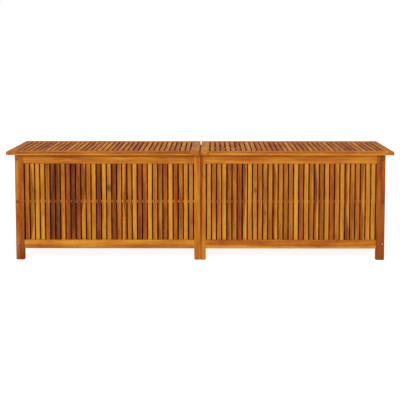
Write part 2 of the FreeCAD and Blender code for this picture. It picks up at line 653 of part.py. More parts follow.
def hinge_leaf(label, middle, turn, first, count):
    """A leaf whose plate hangs from its knuckles; the pin's axis is the body's x axis."""
    body = new_body(label, (middle, HINGE_Y, HINGE_Z), turn, own_node=False)
    half = "(dims.hinge_length / 2)"
    face, thickness = "dims.hinge_axis_offset", "dims.hinge_leaf_thickness"
    plate_height = f"(dims.hinge_leaf_width - {face})"
    plate_at = (f"-1 * {half}", "-1 * dims.hinge_leaf_width", face)
    plate = rectangle(sketch_on(body, "XZ_Plane", plate_at), "dims.hinge_length", plate_height)
    pad(body, plate, thickness, backwards=True)
    start = f"({first} * {KNUCKLE_PITCH} - {half} + dims.hinge_knuckle_gap / 2)"
    length = f"{KNUCKLE_PITCH} - dims.hinge_knuckle_gap"
    web_at = (f"-1 * {face}", f"-1 * {face}", start)
    web = pad(body, rectangle(sketch_on(body, "YZ_Plane", web_at), thickness, face), length)
    barrel_sketch = sketch_on(body, "YZ_Plane", ("0", "0", start))
    barrel = pad(body, circles(barrel_sketch, [("0", "0")], "dims.hinge_barrel_radius"), length)
    row_along_x(body, [web, barrel], count, f"2 * {KNUCKLE_PITCH}")
    bore = circles(sketch_on(body, "YZ_Plane", ("0", "0", half)), [("0", "0")],
                   "dims.hinge_pin_radius + dims.hinge_pin_clearance")
    pocket(body, bore, "dims.hinge_length")
    for step in screw_steps():
        countersink(body, f"0 {step}")
    return body


def hinge_screw_radii(clearance):
    """Head and shank radii of a countersunk hinge screw, with a clearance added."""
    head = f"dims.hinge_screw_head_radius + {clearance}"
    shank = f"dims.hinge_screw_shank_radius + {clearance}"
    return head, shank


def countersink(body, x):
    """A screw hole with a conical seat, cut from the free side of the plate."""
    head, shank = hinge_screw_radii("dims.fit / 2")
    outer = "(dims.hinge_axis_offset - dims.hinge_leaf_thickness)"
    sketch = sketch_on(body, "XY_Plane", (x, f"-1 * {outer} - dims.hinge_leaf_thickness",
                                          "-1 * dims.hinge_screw_row"))
    cone_foot = "(dims.hinge_leaf_thickness - dims.hinge_screw_head_height)"
    polygon(sketch, [("0", "0"), (shank, "0"), (shank, cone_foot),
                     (head, "dims.hinge_leaf_thickness"), ("0", "dims.hinge_leaf_thickness")])
    feature = body.newObject("PartDesign::Groove", f"{body.Name}_seat")
    feature.Profile = sketch
    feature.ReferenceAxis = (sketch, ["V_Axis"])
    feature.Angle = 360


def hinge_screw(label, base, turn):
    """A countersunk screw whose head's face is at the top of its own z axis."""
    head, shank = hinge_screw_radii("0")
    length = "dims.hinge_screw_length"
    cone_foot = f"{length} - dims.hinge_screw_head_height"
    profile = [("0", "0"), (shank, "0"), (shank, cone_foot), (head, length), ("0", length)]
    return turned_piece(label, base, turn, profile)


def build_hinges():
    """Two butt hinges for each lid, with pins and screws."""
    frame_leaves, pins, frame_screws = [], [], []
    tip_back = f"{BACK_FACE} + dims.hinge_leaf_thickness - dims.hinge_screw_length"
    tip_up = f"{BODY_TOP} - dims.hinge_leaf_thickness + dims.hinge_screw_length"
    for side, left in LID_STARTS.items():
        lid_leaves, lid_screws = [], []
        for number, middle in enumerate(hinge_middles(left), start=1):
            name = f"{side}_{number}"
            frame_leaves.append(hinge_leaf(f"frame_leaf_{name}", middle, LEAF_DOWN, 0, "3"))
            lid_leaves.append(hinge_leaf(f"lid_leaf_{name}", middle, LEAF_BACK, 1, "2"))
            pin = new_body(f"hinge_pin_{name}", (middle, HINGE_Y, HINGE_Z), own_node=False)
            sketch = sketch_on(pin, "YZ_Plane", ("0", "0", "-1 * dims.hinge_length / 2"))
            pad(pin, circles(sketch, [("0", "0")], "dims.hinge_pin_radius"), "dims.hinge_length")
            pins.append(pin)
            for place_number, step in enumerate(screw_steps(), start=1):
                x = f"{middle} {step}"
                screw_name = f"{name}_{place_number}"
                base = (x, tip_back, f"{HINGE_Z} - dims.hinge_screw_row")
                frame_screws.append(hinge_screw(f"frame_screw_{screw_name}", base, UPRIGHT_BACK))
                base = (x, f"{HINGE_Y} + dims.hinge_screw_row", tip_up)
                turn = Rotation(Vector(1, 0, 0), 180)
                lid_screws.append(hinge_screw(f"lid_screw_{screw_name}", base, turn))
        group(f"{side}_hinge_lid_leaves", lid_leaves)
        group(f"{side}_hinge_lid_screws", lid_screws)
    group("hinge_frame_leaves", frame_leaves)
    group("hinge_pins", pins)
    group("hinge_frame_screws", frame_screws)


def build_centre():
    """Two uprights that join the inner stiles, and the cross rails between them."""
    width = "(2 * dims.inner_stile_width)"
    thickness = "dims.centre_batten_thickness"
    battens = []
    for wall, y in (("front", INNER_FRONT), ("back", f"{INNER_BACK} - {thickness}")):
        base = ("-1 * dims.inner_stile_width", y, "dims.foot_height")
        body = new_body(f"{wall}_centre_batten", base, own_node=False)
        section = rounded_rectangle(sketch_on(body, "XY_Plane"), width, thickness, "dims.edge_radius")
        pad(body, section, f"{BODY_TOP} - dims.foot_height")
        columns = ("dims.inner_stile_width / 2", "dims.inner_stile_width * 3 / 2")
        drill_through(body, [(x, f"{height} - dims.foot_height") for x in columns
                             for height in BATTEN_SCREW_HEIGHTS], thickness)
        battens.append(body)
    group("centre_battens", battens)
    cross_rails = []
    top = f"({BODY_TOP} - dims.cross_rail_height)"
    for label, z in (("centre_top_rail", top), ("centre_bottom_rail", LEDGER_BOTTOM)):
        base = ("-1 * dims.inner_stile_width", f"{INNER_FRONT} + {thickness}", z)
        body = new_body(label, base, own_node=False)
        section = rounded_rectangle(sketch_on(body, "XZ_Plane"), width, "dims.cross_rail_height",
                                    "dims.edge_radius")
        pad(body, section, f"{INNER_DEPTH} - 2 * {thickness}", backwards=True)
        cross_rails.append(body)
    group("centre_cross_rails", cross_rails)


def build_inner_screws():
    """Screws from inside through the centre battens and the ledgers."""
    places = []
    for x in ("(-1 * dims.inner_stile_width / 2)", "(dims.inner_stile_width / 2)"):
        places += [(x, height, "dims.centre_batten_thickness") for height in BATTEN_SCREW_HEIGHTS]
    for left in BAY_STARTS.values():
        places += [(f"{left} + {x}", LEDGER_SCREW_HEIGHT, "dims.ledger_size") for x in ledger_screw_steps()]
    screws = []
    for number, (x, height, thickness) in enumerate(places, start=1):
        length = f"({thickness} + dims.inner_screw_bite)"
        front_tip = f"{INNER_FRONT} - dims.inner_screw_bite"
        back_tip = f"{INNER_BACK} + dims.inner_screw_bite"
        profile = wood_screw_profile(length)
        screws.append(turned_piece(f"inner_screw_front_{number}", (x, front_tip, height),
                                   UPRIGHT_BACK, profile))
        screws.append(turned_piece(f"inner_screw_back_{number}", (x, back_tip, height),
                                   UPRIGHT_FRONT, profile))
    group("inner_screws", screws)


def build_floor():
    """Ledgers along the bottom rails, and the slats that lie on them."""
    ledgers, rows = [], []
    size = "dims.ledger_size"
    for side, left in BAY_STARTS.items():
        for wall, y in (("front", INNER_FRONT), ("back", f"{INNER_BACK} - {size}")):
            ledger = new_body(f"{wall}_{side}_ledger", (left, y, LEDGER_BOTTOM), own_node=False)
            section = rounded_rectangle(sketch_on(ledger, "YZ_Plane"), size, size, "dims.edge_radius")
            pad(ledger, section, BAY_LENGTH)
            drill_through(ledger, [(x, f"{size} / 2") for x in ledger_screw_steps()], size)
            ledgers.append(ledger)
        body = new_body(f"{side}_floor_row", (left, INNER_FRONT, FLOOR_BOTTOM), own_node=False)
        count, width = "dims.floor_slat_count", "dims.floor_slat_width"
        gap = f"(({BAY_LENGTH} - {count} * {width}) / ({count} + 1))"
        section = rounded_rectangle(sketch_on(body, "XZ_Plane", (gap, "0", "-1 * dims.floor_clearance")),
                                    width, "dims.floor_slat_thickness", "dims.edge_radius")
        slat = pad(body, section, f"{INNER_DEPTH} - 2 * dims.floor_clearance", backwards=True)
        row_along_x(body, [slat], count, f"{width} + {gap}")
        rows.append(body)
    group("floor_ledgers", ledgers)
    group("floor_slats", rows)


def build_liners():
    """An open bag in each compartment, and the tapes that hold its hem to the rails."""
    space, wall = "dims.liner_clearance", "dims.liner_wall"
    length = f"({BAY_LENGTH} - 2 * {space})"
    depth = f"({INNER_DEPTH} - 2 * {space})"
    bottom = f"({FLOOR_TOP} + dims.soft_gap)"
    height = f"({BODY_TOP} - dims.liner_drop - {bottom})"
    tape_z = f"{BODY_TOP} - dims.liner_drop - dims.tape_width"
    tape_thickness = f"({space} - dims.soft_gap)"
    tapes = []
    for side, left in BAY_STARTS.items():
        body = new_body(f"{side}_liner", (f"{left} + {space}", f"{INNER_FRONT} + {space}", bottom))
        outside = rounded_rectangle(sketch_on(body, "XY_Plane"), length, depth, "dims.liner_radius")
        pad(body, outside, height)
        sketch = sketch_on(body, "XY_Plane", (wall, wall, height))
        inside = rounded_rectangle(sketch, f"{length} - 2 * {wall}", f"{depth} - 2 * {wall}",
                                   f"dims.liner_radius - {wall}")
        pocket(body, inside, f"{height} - {wall}")
        run = f"({BAY_LENGTH} - 2 * dims.tape_inset)"
        for where, y in (("front", INNER_FRONT), ("back", f"{INNER_BACK} - {tape_thickness}")):
            tapes.append(tape(f"{where}_{side}_tape", (f"{left} + dims.tape_inset", y, tape_z),
                              run, tape_thickness))
        outer_x = f"-1 * {INNER_HALF}" if side == "left" else f"{INNER_HALF} - {tape_thickness}"
        inner_x = f"-1 * dims.inner_stile_width - {tape_thickness}"
        if side == "right":
            inner_x = "dims.inner_stile_width"
        run = f"({INNER_DEPTH} - 2 * dims.tape_inset)"
        for where, x in (("outer", outer_x), ("inner", inner_x)):
            tapes.append(tape(f"{where}_{side}_tape", (x, f"{INNER_FRONT} + dims.tape_inset", tape_z),
                              tape_thickness, run))
    group("liner_tapes", tapes)


def tape(label, base, width, depth):
    """A flat strip standing on its edge."""
    body = new_body(label, base, own_node=False)
    pad(body, rectangle(sketch_on(body, "XY_Plane"), width, depth), "dims.tape_width")
    return body


build_front_and_back()
build_sides()
build_lids()
build_corner_fasteners()
build_hinges()
build_centre()
build_inner_screws()
build_floor()
build_liners()
doc.recompute()

faults = [o.Label for o in doc.Objects if {"Invalid", "Error"} & set(o.State)]
faults += [o.Label for o in NODES if o.Shape.isNull() or not o.Shape.isValid() or not o.Shape.Solids]
if faults:
    raise RuntimeError("these objects failed: " + ", ".join(faults))

os.makedirs("parts", exist_ok=True)
for node in NODES:
    node.Shape.exportStep(f"parts/{node.Label}.step")
print(len(NODES), "nodes,", sum(len(node.Shape.Solids) for node in NODES), "solids")
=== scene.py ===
"""Deck storage box of oiled acacia strips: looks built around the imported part, in metres."""

import math

import bpy
import numpy as np
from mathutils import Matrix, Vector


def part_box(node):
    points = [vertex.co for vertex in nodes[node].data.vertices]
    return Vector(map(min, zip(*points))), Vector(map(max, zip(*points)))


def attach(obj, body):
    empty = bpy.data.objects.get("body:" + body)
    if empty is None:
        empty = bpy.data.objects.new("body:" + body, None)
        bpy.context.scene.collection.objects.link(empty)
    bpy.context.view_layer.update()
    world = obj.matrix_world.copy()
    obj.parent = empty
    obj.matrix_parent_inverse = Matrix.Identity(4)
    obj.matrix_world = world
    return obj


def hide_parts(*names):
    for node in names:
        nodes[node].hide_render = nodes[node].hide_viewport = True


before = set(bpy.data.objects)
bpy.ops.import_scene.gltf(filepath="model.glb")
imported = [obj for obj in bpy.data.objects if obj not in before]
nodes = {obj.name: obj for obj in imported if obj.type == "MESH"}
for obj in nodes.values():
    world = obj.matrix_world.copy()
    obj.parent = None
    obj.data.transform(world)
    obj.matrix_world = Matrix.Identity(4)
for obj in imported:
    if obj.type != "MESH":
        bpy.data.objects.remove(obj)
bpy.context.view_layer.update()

SLAT_WIDTH = 0.020
SLAT_EASE = 0.0012
TONGUE_LENGTH = 0.008
TONGUE_SHARE = 0.6  # tongue thickness over slat thickness
LONG_ROW, SIDE_ROW = 33, 12  # slats in a long panel or lid, and in a side panel
X, Y, Z = range(3)


# ---------------------------------------------------------------- materials

def linear(colour):
    """An sRGB hex colour as linear red, green, blue and alpha."""
    srgb = np.array([int(colour[i:i + 2], 16) for i in (1, 3, 5)]) / 255
    rgb = np.where(srgb <= 0.04045, srgb / 12.92, ((srgb + 0.055) / 1.055) ** 2.4)
    return (*rgb.tolist(), 1.0)


def add(tree, kind, inputs=None, stops=None, **settings):
    """Adds a node: settings are its own, inputs are values or links, stops are a ramp's colours."""
    made = tree.nodes.new("ShaderNode" + kind)
    for name, value in settings.items():
        setattr(made, name, value)
    for key, value in (inputs or {}).items():
        if isinstance(value, bpy.types.Node):
            value = value.outputs[0]
        if isinstance(value, bpy.types.NodeSocket):
            tree.links.new(value, made.inputs[key])
        else:
            made.inputs[key].default_value = value
    if stops:
        elements = made.color_ramp.elements
        while len(elements) < len(stops):
            elements.new(0.5)
        for element, (place, colour) in zip(elements, stops):
            element.position, element.color = place, linear(colour)
    return made


def new_finish(name, **values):
    """A material with one Principled shader, whose constant inputs are set on its own sockets."""
    finish = bpy.data.materials.new(name)
    finish.use_nodes = True
    tree = finish.node_tree
    tree.nodes.clear()
    shader = add(tree, "BsdfPrincipled", values)
    add(tree, "OutputMaterial", {"Surface": shader})
    return finish, tree, shader


# Acacia runs from straw-yellow sapwood to dark red-brown heartwood; oil deepens both.
YELLOW_WOOD = [(0.0, "#2e1406"), (0.25, "#58300c"), (0.5, "#874d10"), (0.75, "#a46714"), (1.0, "#b97c22")]
RED_WOOD = [(0.0, "#2a0e05"), (0.25, "#582208"), (0.5, "#80380b"), (0.75, "#9b4e10"), (1.0, "#af6220")]
BARE_SAPWOOD = "#d8b49a"
KNOT_BROWN = "#421606"
# oil soaks in and leaves no film, so the gloss is a fifth of a varnish's
OILED = {"Specular IOR Level": 0.1}


def oiled_wood(tree, shader, tone, red, grain, knot=None, pale=0.0):
    """Acacia, planed and oiled: streaks along the grain move the tone, and pores darken it.

    grain is a vector in metres whose y runs along the grain. tone runs from 0, dark, to 1, light, and
    red is the share of heartwood colour. knot is the share of knot colour, and pale that of bare sapwood.
    Real pores are 0.2 mm wide, too fine to show, so they are drawn 1.3 mm wide, and the fine streaks 3 mm.
    """
    streaks = []
    # streaks to a metre across and along the grain, so 330 makes them 3 mm wide
    for across, along, detail in ((330, 6, 3.0), (95, 2.6, 2.0), (28, 4.5, 1.0)):
        stretched = add(tree, "Mapping", {"Vector": grain, "Scale": (across, along, across)})
        streaks.append(add(tree, "TexNoise", {"Vector": stretched, "Scale": 1.0, "Detail": detail,
                                              "Roughness": 0.6}))
    fine, broad, cloud = streaks
    # growth rings 5 mm apart, each darkening slowly to its late wood
    turned = add(tree, "Mapping", {"Vector": grain, "Scale": (63, 1.6, 63)})
    rings = add(tree, "TexWave", {"Vector": turned, "Scale": 1.0, "Distortion": 7.0, "Detail": 2.0,
                                  "Detail Scale": 0.35, "Detail Roughness": 0.6},
                wave_type="BANDS", bands_direction="X", wave_profile="SAW").outputs["Fac"]
    # pores: short dark dashes along the grain, 1.3 mm wide and 50 mm long
    dashes = add(tree, "Mapping", {"Vector": grain, "Scale": (760, 20, 760)})
    dashes = add(tree, "TexNoise", {"Vector": dashes, "Scale": 1.0, "Detail": 1.0})
    pores = add(tree, "MapRange", {"Value": dashes, "From Min": 0.54, "From Max": 0.72}).outputs[0]
    # each pattern's full swing in tone, and the value at which it leaves the tone alone
    swings = ((fine, 0.45, 0.5), (broad, 0.55, 0.5), (cloud, 0.5, 0.5), (rings, -0.13, 0.5),
              (pores, -0.30, 0.12))
    for streak, amount, middle in swings:
        shift = add(tree, "Math", {0: streak, 1: amount, 2: -amount * middle}, operation="MULTIPLY_ADD")
        tone = add(tree, "Math", {0: tone, 1: shift}, operation="ADD")
    yellow = add(tree, "ValToRGB", {"Fac": tone}, stops=YELLOW_WOOD)
    deep = add(tree, "ValToRGB", {"Fac": tone}, stops=RED_WOOD)
    reddened = add(tree, "Math", {0: cloud, 1: -1.4, 2: 0.7}, operation="MULTIPLY_ADD")
    share = add(tree, "Math", {0: red, 1: reddened}, operation="ADD", use_clamp=True)
    colour = add(tree, "Mix", {"Factor": share, 6: yellow, 7: deep}, data_type="RGBA").outputs[2]
    if pale:
        colour = add(tree, "Mix", {"Factor": pale, 6: colour, 7: linear(BARE_SAPWOOD)},
                     data_type="RGBA").outputs[2]
    if knot is not None:
        colour = add(tree, "Mix", {"Factor": knot, 6: colour, 7: linear(KNOT_BROWN)},
                     data_type="RGBA").outputs[2]
    tree.links.new(colour, shader.inputs["Base Color"])
    rough = add(tree, "MapRange", {"Value": fine, "To Min": 0.50, "To Max": 0.68})
    tree.links.new(rough.outputs[0], shader.inputs["Roughness"])
    sunk = add(tree, "Math", {0: pores, 1: -1.2, 2: fine}, operation="MULTIPLY_ADD")
    relief = add(tree, "Bump", {"Height": sunk, "Strength": 0.3, "Distance": 0.0006})
    tree.links.new(relief.outputs[0], shader.inputs["Normal"])


def strip_wood(name):
    """Acacia strips ripped from mixed boards: every strip has a tone, a redness, a lean and a knot."""
    finish, tree, shader = new_finish(name, **OILED)
    facts = {key: add(tree, "Attribute", attribute_name=key).outputs["Fac"]
             for key in ("tone", "red", "lean", "knot", "across", "station")}
    grain = add(tree, "UVMap", uv_map="grain")
    # sapwood on one side: its edge wanders across the strip, with bends about 0.3 m apart
    bends = add(tree, "Mapping", {"Vector": grain, "Scale": (0.0, 3.4, 0.0)})
    bends = add(tree, "TexNoise", {"Vector": bends, "Scale": 1.0, "Detail": 1.0})
    drift = add(tree, "Math", {0: bends, 1: 6.0, 2: -3.0}, operation="MULTIPLY_ADD")
    side = add(tree, "Math", {0: facts["across"], 1: drift}, operation="ADD")
    side = add(tree, "MapRange", {"Value": side, "From Min": -0.45, "From Max": 0.45, "To Min": -1.0},
               interpolation_type="SMOOTHSTEP")
    lift = add(tree, "Math", {0: side, 1: facts["lean"]}, operation="MULTIPLY")
    tone = add(tree, "Math", {0: facts["tone"], 1: lift}, operation="ADD")
    # where the strip has a knot, it fades out about 13 mm across and 22 mm along from its middle
    away = add(tree, "Math", {0: facts["station"], 1: facts["knot"]}, operation="SUBTRACT")
    away = add(tree, "Math", {0: away, 1: 24.0}, operation="MULTIPLY")
    spot = add(tree, "CombineXYZ", {"X": facts["across"], "Y": away})
    reach = add(tree, "VectorMath", {0: spot}, operation="LENGTH").outputs["Value"]
    reach = add(tree, "Math", {0: bends, 1: 1.6, 2: reach}, operation="MULTIPLY_ADD")
    knot = add(tree, "MapRange", {"Value": reach, "From Min": 0.9, "From Max": 2.1,
                                  "To Min": 0.7, "To Max": 0.0})
    oiled_wood(tree, shader, tone, facts["red"], grain, knot)
    return finish


def member_wood(name, axis, tone, red, seed, blends=(), cells=None, pale=0.0):
    """One node's boards of acacia, with the grain along an axis.

    Each blend lifts tone and redness from one place to another along a direction, as where sapwood
    meets heartwood; some blends are painted light: a painted highlight where an eased edge turns to the
    light, and painted shade under the lid and behind the slats. cells gives boards of one node their own
    tone, up to 0.18 either way: a direction, a start and a pitch. pale is the share of bare sapwood,
    planed but hardly oiled, as on boards behind the face.
    """
    finish, tree, shader = new_finish(name, **OILED)
    place = add(tree, "TexCoord").outputs["Object"]
    parts = add(tree, "SeparateXYZ", {"Vector": place})
    others = [letter for letter in "XYZ" if letter != axis]
    grain = add(tree, "CombineXYZ", {"X": parts.outputs[others[0]], "Y": parts.outputs[axis],
                                     "Z": parts.outputs[others[1]]})
    grain = add(tree, "Mapping", {"Vector": grain, "Location": (seed * 0.71, seed * 1.37, seed * 0.29)})
    wander = add(tree, "Mapping", {"Vector": grain, "Scale": (30.0, 4.0, 30.0)})
    wander = add(tree, "TexNoise", {"Vector": wander, "Scale": 1.0, "Detail": 1.0})
    wander = add(tree, "Math", {0: wander, 1: 0.012, 2: -0.006}, operation="MULTIPLY_ADD")
    tone_sum, red_sum = tone, red
    for direction, start, end, tone_lift, red_lift in blends:
        edge = add(tree, "Math", {0: parts.outputs[direction], 1: wander}, operation="ADD")
        edge = add(tree, "MapRange", {"Value": edge, "From Min": start, "From Max": end})
        tone_sum = add(tree, "Math", {0: edge, 1: tone_lift, 2: tone_sum}, operation="MULTIPLY_ADD")
        red_sum = add(tree, "Math", {0: edge, 1: red_lift, 2: red_sum}, operation="MULTIPLY_ADD")
    if cells:
        direction, start, pitch = cells
        cell = add(tree, "Math", {0: parts.outputs[direction], 1: start}, operation="SUBTRACT")
        cell = add(tree, "Math", {0: cell, 1: pitch}, operation="DIVIDE")
        cell = add(tree, "Math", {0: cell}, operation="FLOOR")
        chance = add(tree, "TexWhiteNoise", {"W": cell}, noise_dimensions="1D").outputs["Value"]
        chance = add(tree, "Math", {0: chance, 1: 0.36, 2: -0.18}, operation="MULTIPLY_ADD")
        tone_sum = add(tree, "Math", {0: chance, 1: tone_sum}, operation="ADD")
    oiled_wood(tree, shader, tone_sum, red_sum, grain, pale=pale)
    return finish


def plated_steel(name, colour, low, high, painted_shade_by_height=None):
    """Plated steel, stamped or turned: a thin film, cloudy at the scale of 4 mm.

    low and high are the roughness of its bright and dull patches; painted shade darkens it by height.
    """
    finish, tree, shader = new_finish(name, Metallic=1.0)
    place = add(tree, "TexCoord").outputs["Object"]
    cloud = add(tree, "TexNoise", {"Vector": place, "Scale": 250.0, "Detail": 3.0})
    tint = add(tree, "ValToRGB", {"Fac": cloud}, stops=colour)
    rough = add(tree, "MapRange", {"Value": cloud, "To Min": low, "To Max": high})
    tint = tint.outputs[0]
    if painted_shade_by_height:
        # painted shade: the colour is multiplied darker towards the top
        height = add(tree, "SeparateXYZ", {"Vector": place}).outputs["Z"]
        painted_shade = add(tree, "ValToRGB", {"Fac": height}, stops=painted_shade_by_height)
        tint = add(tree, "Mix", {"Factor": 1.0, 6: tint, 7: painted_shade}, data_type="RGBA",
                   blend_type="MULTIPLY").outputs[2]
    tree.links.new(tint, shader.inputs["Base Color"])
    tree.links.new(rough.outputs[0], shader.inputs["Roughness"])
    return finish


def woven_polyester(name, painted_crease_shades, thread, depth):
    """Coated woven polyester: a plain weave under a matt coat, which dulls it and hides single threads.

    Real threads are 0.5 mm apart; they are drawn at the given spacing so that the weave shows. depth is
    the height of threads and creases, and the shade colours run from a crease's foot to its crest:
    painted shade, darker in the folds.
    """
    finish, tree, shader = new_finish(name, **{
        "Specular IOR Level": 0.25, "Sheen Weight": 0.05, "Sheen Roughness": 0.5})
    grain = add(tree, "UVMap", uv_map="grain")
    waves = []
    for direction in ("X", "Y"):
        waves.append(add(tree, "TexWave", {"Vector": grain, "Scale": 0.5 / thread / math.pi},
                         wave_type="BANDS", bands_direction=direction))
    weave = add(tree, "Math", {0: waves[0].outputs["Fac"], 1: waves[1].outputs["Fac"]}, operation="MULTIPLY")
    creases = add(tree, "TexNoise", {"Vector": grain, "Scale": 14.0, "Detail": 4.0})
    # painted shade: the colour darkens towards each crease's foot
    tint = add(tree, "ValToRGB", {"Fac": creases}, stops=painted_crease_shades)
    rough = add(tree, "MapRange", {"Value": creases, "To Min": 0.55, "To Max": 0.8})
    height = add(tree, "Math", {0: creases, 1: 2.0, 2: weave}, operation="MULTIPLY_ADD")
    bump = add(tree, "Bump", {"Height": height, "Strength": 0.35, "Distance": depth})
    tree.links.new(tint.outputs[0], shader.inputs["Base Color"])
    tree.links.new(rough.outputs[0], shader.inputs["Roughness"])
    tree.links.new(bump.outputs[0], shader.inputs["Normal"])
    return finish


def lit_table():
    """Opal acrylic on a light table: matt, faintly mottled, and lit from below so that shadows stay pale."""
    finish, tree, shader = new_finish("opal_acrylic", Roughness=0.9, **{
        "Specular IOR Level": 0.1, "Emission Color": linear("#ffffff"), "Emission Strength": 0.9})
    place = add(tree, "TexCoord").outputs["Object"]
    mottle = add(tree, "TexNoise", {"Vector": place, "Scale": 3.0, "Detail": 2.0})
    tint = add(tree, "ValToRGB", {"Fac": mottle}, stops=[(0.0, "#7a7a79"), (1.0, "#828281")])
    tree.links.new(tint.outputs[0], shader.inputs["Base Color"])
    return finish


# ---------------------------------------------------------------- meshes

def new_piece(name, points, quads, caps=(), uv=None, attributes=None, smooth=True):
    """A mesh object at the origin from arrays of points and faces; uv has one pair for each corner."""
    mesh = bpy.data.meshes.new(name)
    faces = [*quads.tolist(), *[list(c) for c in caps]]
    mesh.from_pydata(points.tolist(), [], faces)
    if uv is not None:
        layer = mesh.uv_layers.new(name="grain")
        layer.data.foreach_set("uv", np.asarray(uv, dtype=np.float32).ravel())
    for key, values in (attributes or {}).items():
        layer = mesh.attributes.new(key, "FLOAT", "POINT")
        layer.data.foreach_set("value", np.asarray(values, dtype=np.float32).ravel())
    mesh.polygons.foreach_set("use_smooth", np.full(len(mesh.polygons), smooth))
    piece = bpy.data.objects.new(name, mesh)
    bpy.context.scene.collection.objects.link(piece)
    return piece


# Each letter is a grade of strip: tone, redness, and how far sapwood on one side shifts the tone
GRADES = {
    "y": (0.96, 0.05, 0.00), "g": (0.84, 0.15, 0.02), "o": (0.70, 0.42, 0.04), "m": (0.55, 0.35, 0.06),
    "r": (0.54, 0.80, 0.04), "d": (0.33, 0.62, 0.05), "v": (0.66, 0.40, 0.24), "w": (0.66, 0.40, -0.24),
    "k": (0.72, 0.30, 0.05), "p": (0.50, 0.95, 0.03),
}
MIXED_BOARDS = "gggoooooommmrrddvwkyp"


def slat_row(name, node, along, out, count, grades, seed, finish):
    """Eased strips with a tongue at both ends, all in one mesh.

    The section is an eight-sided eased rectangle. It is carried through seven stations: tongue tip,
    tongue root, shoulder, middle, shoulder, tongue root, tongue tip. Point = row start + strip number
    times pitch + section point times the station's thickness share, with the middle bowed sideways.
    """
    rng = np.random.default_rng(seed)
    low, high = (np.array(c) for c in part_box(node))
    cross = 3 - along - out
    half_w, half_t = SLAT_WIDTH / 2, (high[out] - low[out]) / 2
    centres = np.linspace(low[cross] + half_w, high[cross] - half_w, count)
    w, t, e = half_w, half_t, SLAT_EASE
    section = np.array([(w - e, -t), (w, e - t), (w, t - e), (w - e, t),
                        (e - w, t), (-w, t - e), (-w, e - t), (e - w, -t)])
    stations = np.array([0, TONGUE_LENGTH, TONGUE_LENGTH, (high[along] - low[along]) / 2,
                         high[along] - low[along] - TONGUE_LENGTH,
                         high[along] - low[along] - TONGUE_LENGTH, high[along] - low[along]])
    shares = np.array([TONGUE_SHARE, TONGUE_SHARE, 1, 1, 1, TONGUE_SHARE, TONGUE_SHARE])
    sides, rings = len(section), len(stations)
    bow = rng.normal(0, 0.00025, count)[:, None, None] * (np.arange(rings) == 3)[None, :, None]
    points = np.zeros((count, rings, sides, 3))
    points[..., cross] = centres[:, None, None] + section[:, 0] + bow
    points[..., out] = (low[out] + high[out]) / 2 + shares[None, :, None] * section[:, 1]
    points[..., along] = low[along] + stations[None, :, None]
    index = np.arange(count * rings * sides).reshape(count, rings, sides)
    here, following = index[:, :-1, :], index[:, 1:, :]
    quads = np.stack([here, np.roll(here, -1, 2), np.roll(following, -1, 2), following], -1)
    caps = np.concatenate([index[:, 0, ::-1], index[:, -1, :]])
    # the section turns from cross to out, so the faces point outwards when cross, out, along is even
    if (cross, out, along) not in ((0, 1, 2), (1, 2, 0), (2, 0, 1)):
        quads, caps = quads[..., ::-1], caps[:, ::-1]
    quads = quads.reshape(-1, 4)
    letters = grades or rng.choice(list(MIXED_BOARDS), count)
    grade = np.array([GRADES[letter] for letter in letters])
    grade = grade + rng.normal(0, 1, (count, 3)) * (0.025, 0.05, 0.02)
    knots = np.full(count, -9.0)  # a station off the strip, so no knot shows
    picked = [i for i, letter in enumerate(grades) if letter == "k"]
    knots[picked] = rng.uniform(0.25, 0.8, len(picked))
    each = rings * sides
    facts = {key: np.repeat(grade[:, i], each) for i, key in enumerate(("tone", "red", "lean"))}
    facts["knot"] = np.repeat(knots, each)
    facts["across"] = np.tile(section[:, 0] / half_w, count * rings)
    facts["station"] = np.tile(np.repeat(stations / stations[-1], sides), count)
    # u is the distance round the section and v the distance along the strip, moved on for every strip
    flat = points.reshape(-1, 3)
    number = np.repeat(np.arange(count), each)
    u = flat[:, cross] + flat[:, out] + 0.37 * number + 0.1 * seed
    v = flat[:, along] + 1.31 * number
    corners = np.concatenate([quads.ravel(), caps.ravel()])
    uv = np.stack([u[corners], v[corners]], -1)
    piece = new_piece(name, flat, quads, caps, uv, facts, smooth=False)
    piece.data.materials.append(finish)
    return piece


LOOP_STEPS = (72, 36, 6)  # points along a long wall, along a short wall and round a corner


def loop_points(low, high, radius):
    """A rounded rectangle as points and outward directions: four straight runs and four quarter turns.

    Run point = a share of the way from start to end, moved outwards by the radius. Turn point = the
    turn's centre plus the radius times the direction, which goes through a quarter circle.
    """
    long_steps, short_steps, corner_steps = LOOP_STEPS
    spots, ways = [], []
    x0, y0, x1, y1 = low[0] + radius, low[1] + radius, high[0] - radius, high[1] - radius
    runs = [((x0, y0), (x1, y0), (0, -1), long_steps), ((x1, y0), (x1, y1), (1, 0), short_steps),
            ((x1, y1), (x0, y1), (0, 1), long_steps), ((x0, y1), (x0, y0), (-1, 0), short_steps)]
    for number, (start, end, way, steps) in enumerate(runs):
        share = np.linspace(0, 1, steps, endpoint=False)[:, None]
        spots.append(np.array(start) * (1 - share) + np.array(end) * share + np.array(way) * radius)
        ways.append(np.tile(np.array(way, float), (steps, 1)))
        turn = math.radians(90) * (number - 1 + np.linspace(0, 1, corner_steps, endpoint=False))
        round_way = np.stack([np.cos(turn), np.sin(turn)], -1)
        spots.append(np.array(end) + round_way * radius)
        ways.append(round_way)
    return np.concatenate(spots), np.concatenate(ways)


